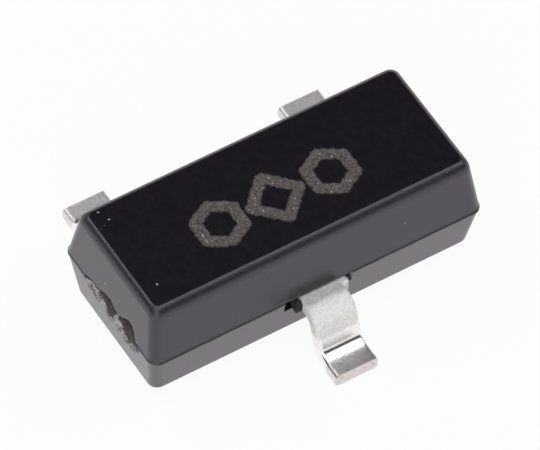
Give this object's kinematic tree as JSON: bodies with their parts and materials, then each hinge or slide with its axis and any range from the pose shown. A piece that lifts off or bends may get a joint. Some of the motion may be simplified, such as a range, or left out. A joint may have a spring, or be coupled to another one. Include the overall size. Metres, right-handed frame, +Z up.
{
  "type": "sot-23 transistor",
  "caption": "Small surface-mount transistor: a drafted black moulding with gull-wing leads, holding a die on a paddle and looped bond wires.",
  "frame": {"origin": "on the board, under the middle of the moulding", "axes": "+X along the moulding towards the base lead's end, +Y towards the side with the base and emitter leads, +Z up from the board"},
  "size_m": [0.003, 0.0024, 0.001],
  "materials": {
    "moulding_compound": "black filled epoxy, slightly shiny on top and matt on the sides",
    "tinned_copper": "matt tin plate on a stamped copper strip, with bare copper at the cut tips",
    "silicon": "polished",
    "silver_adhesive": "silver-filled adhesive, dull",
    "aluminium": "evaporated metal, satin",
    "gold": "bright drawn gold wire"
  },
  "bodies": {
    "root": {"mould_body": "moulding_compound", "collector_lead": "tinned_copper", "base_lead": "tinned_copper", "emitter_lead": "tinned_copper", "transistor_die": "silicon", "die_attach": "silver_adhesive", "base_pad": "aluminium", "emitter_pad": "aluminium", "base_wire": "gold", "emitter_wire": "gold"}
  },
  "joints": []
}
